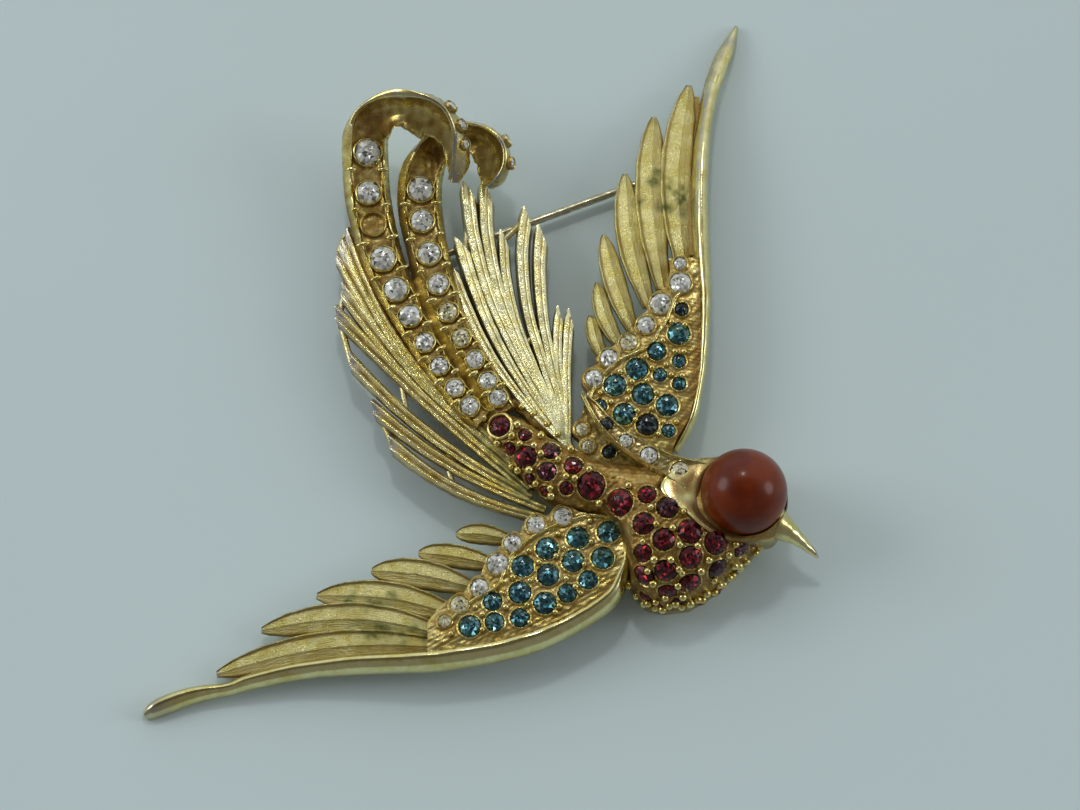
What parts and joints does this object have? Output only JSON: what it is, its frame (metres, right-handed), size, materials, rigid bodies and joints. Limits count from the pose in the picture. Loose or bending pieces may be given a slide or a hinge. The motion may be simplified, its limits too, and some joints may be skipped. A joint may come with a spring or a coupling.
{
  "type": "figural animal brooch",
  "caption": "Flying bird brooch in cast gold-coloured metal with spread wings, ribbed tail fans, two hooked plumes, pave-set stones, a round cabochon head and a hinged pin on its back.",
  "frame": {"origin": "centre of the box round the brooch, on the surface that its back rests on", "axes": "+X towards the beak, +Y towards the upper wing's tip, +Z out of the brooch's face"},
  "size_m": [0.0676, 0.0729, 0.0121],
  "materials": {
    "gold_metal": "polished and satin gold plate",
    "carnelian": "glossy",
    "ruby_glass": "cut and foiled",
    "blue_glass": "cut and foiled",
    "clear_glass": "cut and foiled",
    "pin_steel": "drawn wire"
  },
  "bodies": {
    "brooch": {"body_casting": "gold_metal", "head_cabochon": "carnelian", "upper_wing": "gold_metal", "lower_wing": "gold_metal", "left_tail_fan": "gold_metal", "right_tail_fan": "gold_metal", "left_plume": "gold_metal", "right_plume": "gold_metal", "rump_and_breast_rubies": "ruby_glass", "upper_wing_blue_stones": "blue_glass", "lower_wing_blue_stones": "blue_glass", "upper_wing_crystals": "clear_glass", "lower_wing_crystals": "clear_glass", "crest_stones": "clear_glass", "left_plume_crystals": "clear_glass", "right_plume_crystals": "clear_glass", "hinge_bracket": "gold_metal", "catch": "gold_metal"},
    "pin": {"pin_stem": "pin_steel"}
  },
  "joints": [
    {"name": "pin_hinge", "type": "hinge", "parent": "brooch", "child": "pin", "pos_m": [-0.012, 0.0086, 0.0013], "axis": [-0.3584, 0.9336, 0], "range_deg": [0, 80]}
  ]
}
